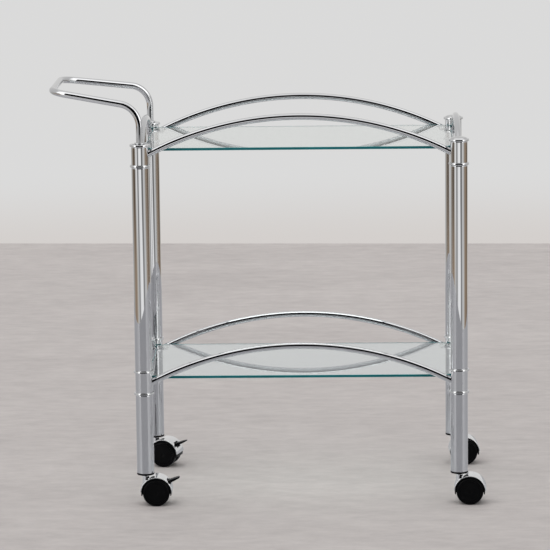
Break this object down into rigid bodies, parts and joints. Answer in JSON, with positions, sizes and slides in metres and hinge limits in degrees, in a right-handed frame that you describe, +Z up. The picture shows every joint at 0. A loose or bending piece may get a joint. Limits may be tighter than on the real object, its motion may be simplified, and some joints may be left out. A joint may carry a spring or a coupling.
{
  "type": "spa trolley cart",
  "caption": "Chrome tube and clear glass trolley with stacked shelves, arched guard rails, a looped push handle at one end, and twin-wheel swivel casters with brakes on the handle side.",
  "frame": {"origin": "middle of the whole object's footprint box, on the floor under the wheels", "axes": "+X along the shelves away from the push handle, +Y from the front long side to the rear long side, +Z up"},
  "size_m": [0.8045, 0.3644, 0.7735],
  "materials": {
    "chrome": "polished chrome plate on steel tube",
    "clear_glass": "clear tempered glass with ground, green-tinted edges",
    "black_plastic": "moulded black nylon",
    "black_tread": "smooth black wheel, slightly glossy",
    "steel": "zinc-plated steel"
  },
  "bodies": {
    "frame": {"front_left_lower_leg": "chrome", "front_left_lower_collar": "chrome", "front_left_middle_post": "chrome", "front_left_upper_collar": "chrome", "front_left_leg_end_plug": "black_plastic", "front_left_caster_stem": "steel", "front_right_lower_leg": "chrome", "front_right_lower_collar": "chrome", "front_right_middle_post": "chrome", "front_right_upper_collar": "chrome", "front_right_domed_cap": "chrome", "front_right_leg_end_plug": "black_plastic", "front_right_caster_stem": "steel", "rear_left_lower_leg": "chrome", "rear_left_lower_collar": "chrome", "rear_left_middle_post": "chrome", "rear_left_upper_collar": "chrome", "rear_left_leg_end_plug": "black_plastic", "rear_left_caster_stem": "steel", "rear_right_lower_leg": "chrome", "rear_right_lower_collar": "chrome", "rear_right_middle_post": "chrome", "rear_right_upper_collar": "chrome", "rear_right_domed_cap": "chrome", "rear_right_leg_end_plug": "black_plastic", "rear_right_caster_stem": "steel", "lower_glass_shelf": "clear_glass", "lower_front_rail": "chrome", "lower_rear_rail": "chrome", "lower_left_rail": "chrome", "lower_right_rail": "chrome", "upper_glass_shelf": "clear_glass", "upper_front_rail": "chrome", "upper_rear_rail": "chrome", "upper_left_rail": "chrome", "upper_right_rail": "chrome", "push_handle": "chrome"},
    "front_left_caster": {"front_left_caster_hood": "black_plastic", "front_left_caster_chrome_cover": "chrome", "front_left_caster_axle": "steel"},
    "front_left_wheel_a": {"front_left_caster_wheel_a": "black_tread"},
    "front_left_wheel_b": {"front_left_caster_wheel_b": "black_tread"},
    "front_left_brake": {"front_left_brake_lever": "black_plastic"},
    "front_right_caster": {"front_right_caster_hood": "black_plastic", "front_right_caster_chrome_cover": "chrome", "front_right_caster_axle": "steel"},
    "front_right_wheel_a": {"front_right_caster_wheel_a": "black_tread"},
    "front_right_wheel_b": {"front_right_caster_wheel_b": "black_tread"},
    "rear_left_caster": {"rear_left_caster_hood": "black_plastic", "rear_left_caster_chrome_cover": "chrome", "rear_left_caster_axle": "steel"},
    "rear_left_wheel_a": {"rear_left_caster_wheel_a": "black_tread"},
    "rear_left_wheel_b": {"rear_left_caster_wheel_b": "black_tread"},
    "rear_left_brake": {"rear_left_brake_lever": "black_plastic"},
    "rear_right_caster": {"rear_right_caster_hood": "black_plastic", "rear_right_caster_chrome_cover": "chrome", "rear_right_caster_axle": "steel"},
    "rear_right_wheel_a": {"rear_right_caster_wheel_a": "black_tread"},
    "rear_right_wheel_b": {"rear_right_caster_wheel_b": "black_tread"}
  },
  "joints": [
    {"name": "front_left_swivel", "type": "hinge", "parent": "frame", "child": "front_left_caster", "pos_m": [-0.2316, -0.1587, 0.0553], "axis": [0, 0, 1], "continuous": true},
    {"name": "front_left_wheel_a_spin", "type": "hinge", "parent": "front_left_caster", "child": "front_left_wheel_a", "pos_m": [-0.2116, -0.1587, 0.025], "axis": [0, 1, 0], "continuous": true},
    {"name": "front_left_wheel_b_spin", "type": "hinge", "parent": "front_left_caster", "child": "front_left_wheel_b", "pos_m": [-0.2116, -0.1587, 0.025], "axis": [0, 1, 0], "continuous": true},
    {"name": "front_left_brake_lever_hinge", "type": "hinge", "parent": "front_left_caster", "child": "front_left_brake", "pos_m": [-0.18827, -0.1587, 0.04322], "axis": [0, 1, 0], "range_deg": [0, 22]},
    {"name": "front_right_swivel", "type": "hinge", "parent": "frame", "child": "front_right_caster", "pos_m": [0.3514, -0.1587, 0.0553], "axis": [0, 0, 1], "continuous": true},
    {"name": "front_right_wheel_a_spin", "type": "hinge", "parent": "front_right_caster", "child": "front_right_wheel_a", "pos_m": [0.37137, -0.15975, 0.025], "axis": [0.0523, 0.9986, 0], "continuous": true},
    {"name": "front_right_wheel_b_spin", "type": "hinge", "parent": "front_right_caster", "child": "front_right_wheel_b", "pos_m": [0.37137, -0.15975, 0.025], "axis": [0.0523, 0.9986, 0], "continuous": true},
    {"name": "rear_left_swivel", "type": "hinge", "parent": "frame", "child": "rear_left_caster", "pos_m": [-0.2316, 0.1593, 0.0553], "axis": [0, 0, 1], "continuous": true},
    {"name": "rear_left_wheel_a_spin", "type": "hinge", "parent": "rear_left_caster", "child": "rear_left_wheel_a", "pos_m": [-0.21238, 0.15379, 0.025], "axis": [0.2756, 0.9613, 0], "continuous": true},
    {"name": "rear_left_wheel_b_spin", "type": "hinge", "parent": "rear_left_caster", "child": "rear_left_wheel_b", "pos_m": [-0.21238, 0.15379, 0.025], "axis": [0.2756, 0.9613, 0], "continuous": true},
    {"name": "rear_left_brake_lever_hinge", "type": "hinge", "parent": "rear_left_caster", "child": "rear_left_brake", "pos_m": [-0.18995, 0.14736, 0.04322], "axis": [0.2756, 0.9613, 0], "range_deg": [0, 22]},
    {"name": "rear_right_swivel", "type": "hinge", "parent": "frame", "child": "rear_right_caster", "pos_m": [0.3514, 0.1593, 0.0553], "axis": [0, 0, 1], "continuous": true},
    {"name": "rear_right_wheel_a_spin", "type": "hinge", "parent": "rear_right_caster", "child": "rear_right_wheel_a", "pos_m": [0.37139, 0.16, 0.025], "axis": [-0.0349, 0.9994, 0], "continuous": true},
    {"name": "rear_right_wheel_b_spin", "type": "hinge", "parent": "rear_right_caster", "child": "rear_right_wheel_b", "pos_m": [0.37139, 0.16, 0.025], "axis": [-0.0349, 0.9994, 0], "continuous": true}
  ]
}
